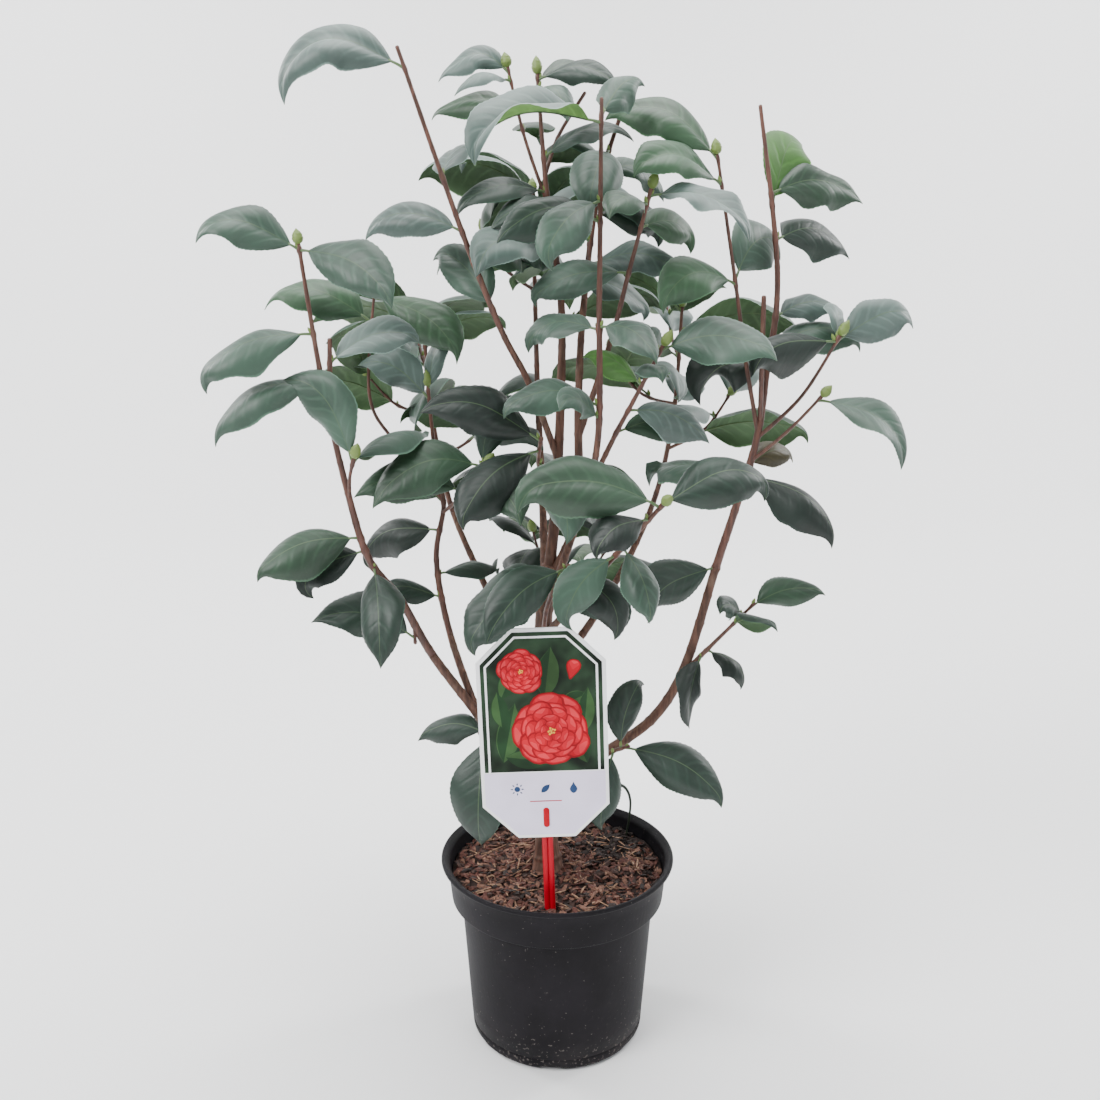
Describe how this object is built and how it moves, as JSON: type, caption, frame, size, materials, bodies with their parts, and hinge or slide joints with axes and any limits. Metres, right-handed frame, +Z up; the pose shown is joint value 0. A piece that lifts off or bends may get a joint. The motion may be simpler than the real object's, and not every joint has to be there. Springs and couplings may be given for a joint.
{
  "type": "potted camellia shrub",
  "caption": "Young evergreen camellia shrub with open upright stems and glossy leaves, in a round black nursery pot with a plant label on a red stick.",
  "frame": {"origin": "centre of the pot's flat underside, at floor level", "axes": "+Z up along the pot's axis, +X to the viewer's right when the label faces the viewer, -Y towards the viewer"},
  "size_m": [0.5198, 0.3838, 0.7776],
  "materials": {
    "pot": "matte black moulded plastic",
    "soil": "loose reddish brown bark compost",
    "label": "printed plastic card",
    "stick": "red glossy plastic",
    "bark": "thin reddish brown bark",
    "leaves": "leathery evergreen leaves with a soft gloss"
  },
  "bodies": {
    "root": {"pot": "pot", "soil": "soil", "label": "label", "label_stick": "stick", "trunk": "bark", "left_outer_bough": "bark", "left_inner_bough": "bark", "right_lower_bough": "bark", "right_upper_bough": "bark", "centre_bough": "bark", "second_bough": "bark", "front_bough": "bark", "top_left_bough": "bark", "right_centre_bough": "bark", "right_mid_bough": "bark", "right_front_bough": "bark", "back_left_bough": "bark", "back_right_bough": "bark", "back_middle_bough": "bark", "back_low_bough": "bark", "left_outer_leaves": "leaves", "left_inner_leaves": "leaves", "right_top_leaves": "leaves", "centre_top_leaves": "leaves", "second_top_leaves": "leaves", "front_leaves": "leaves", "top_left_leaves": "leaves", "right_centre_leaves": "leaves", "right_mid_leaves": "leaves", "right_front_leaves": "leaves", "centre_front_leaves": "leaves", "low_front_leaves": "leaves", "low_left_leaves": "leaves", "low_right_leaves": "leaves", "right_low_leaves": "leaves", "back_left_leaves": "leaves", "back_right_leaves": "leaves", "back_middle_leaves": "leaves", "back_low_leaves": "leaves"}
  },
  "joints": []
}
